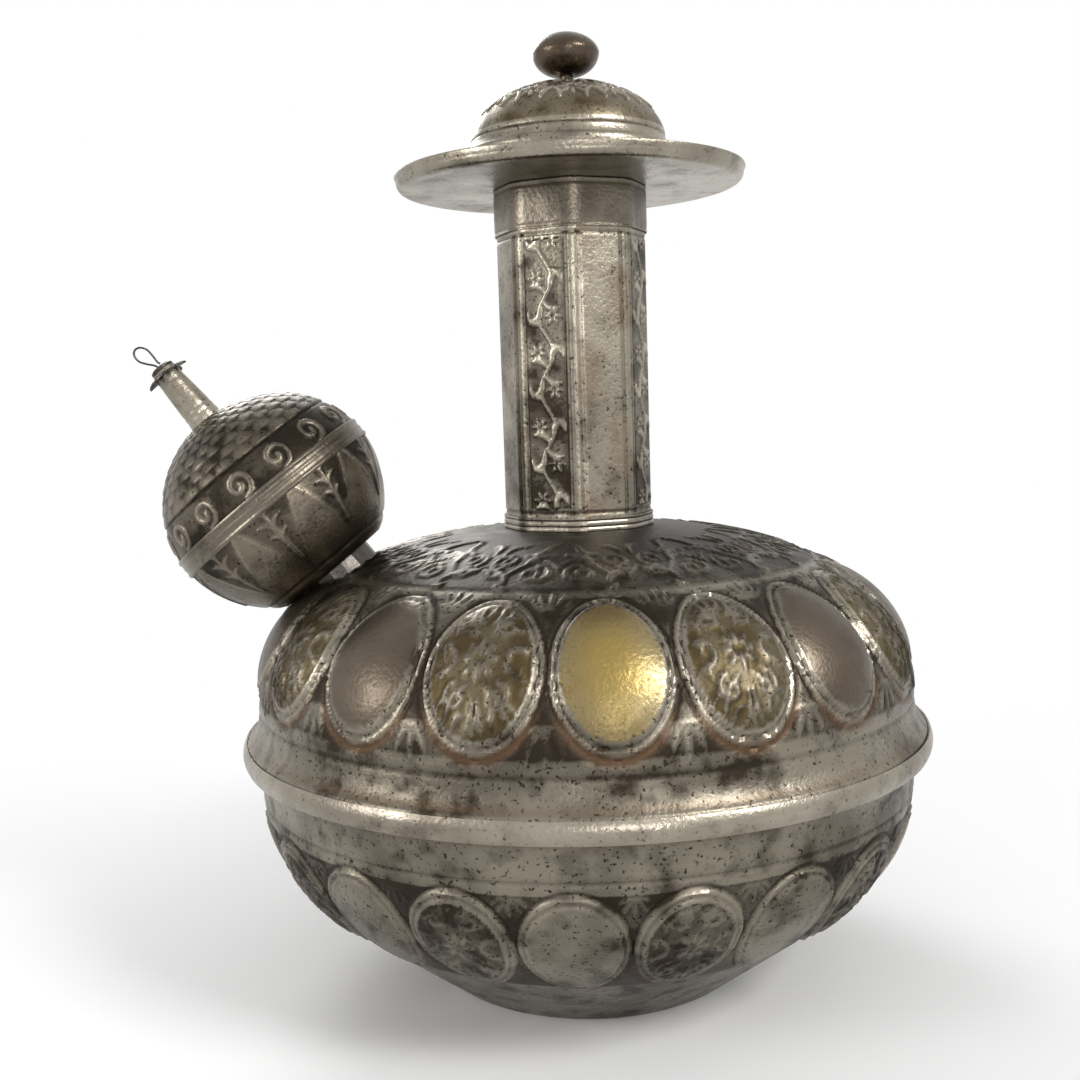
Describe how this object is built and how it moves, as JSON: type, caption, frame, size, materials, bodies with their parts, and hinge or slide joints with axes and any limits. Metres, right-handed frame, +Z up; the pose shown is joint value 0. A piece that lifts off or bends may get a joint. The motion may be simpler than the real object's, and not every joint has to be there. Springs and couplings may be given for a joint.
{
  "type": "water pot",
  "caption": "Lidded metal water pot with a wide round body, long eight-sided neck, flared brim, domed lid with a round knob, and a bulb-shaped side spout with a stopper.",
  "frame": {"origin": "centre of the flat base, on the surface that the pot stands on", "axes": "+Z up along the axis of the body and neck, -X towards the spout, -Y towards the gilded oval boss on the front"},
  "size_m": [0.2439, 0.2156, 0.291],
  "materials": {
    "aged_silver": "silver plate on sheet copper, hand polished, tarnished in the hollows",
    "dark_silver": "silver plate on sheet copper, darkened",
    "brown_plate": "worn plate, brown with age",
    "bare_wire": "dull drawn metal"
  },
  "bodies": {
    "pot": {"base_plate": "aged_silver", "lower_bowl": "aged_silver", "girdle_band": "aged_silver", "upper_shell": "aged_silver", "neck_base_collar": "aged_silver", "neck_tube": "aged_silver", "neck_top_collar": "dark_silver", "brim": "aged_silver", "spout_root_tube": "dark_silver", "bulb_back_half": "aged_silver", "bulb_band": "aged_silver", "bulb_front_half": "dark_silver", "spout_tube": "aged_silver", "tip_petals": "bare_wire"},
    "lid": {"lid_bezel": "dark_silver", "lid_base_ring": "dark_silver", "lid_dome": "aged_silver", "knob_washer": "dark_silver", "knob_stem": "brown_plate", "knob_cup": "brown_plate", "knob_cap": "brown_plate"},
    "stopper": {"stopper_plug": "bare_wire", "stopper_loop": "bare_wire"}
  },
  "joints": [
    {"name": "lid_lift", "type": "slide", "parent": "pot", "child": "lid", "axis": [0, 0, 1], "range_m": [0, 0.09]},
    {"name": "stopper_pull", "type": "slide", "parent": "pot", "child": "stopper", "axis": [-0.6157, 0, 0.788], "range_m": [0, 0.03]}
  ]
}
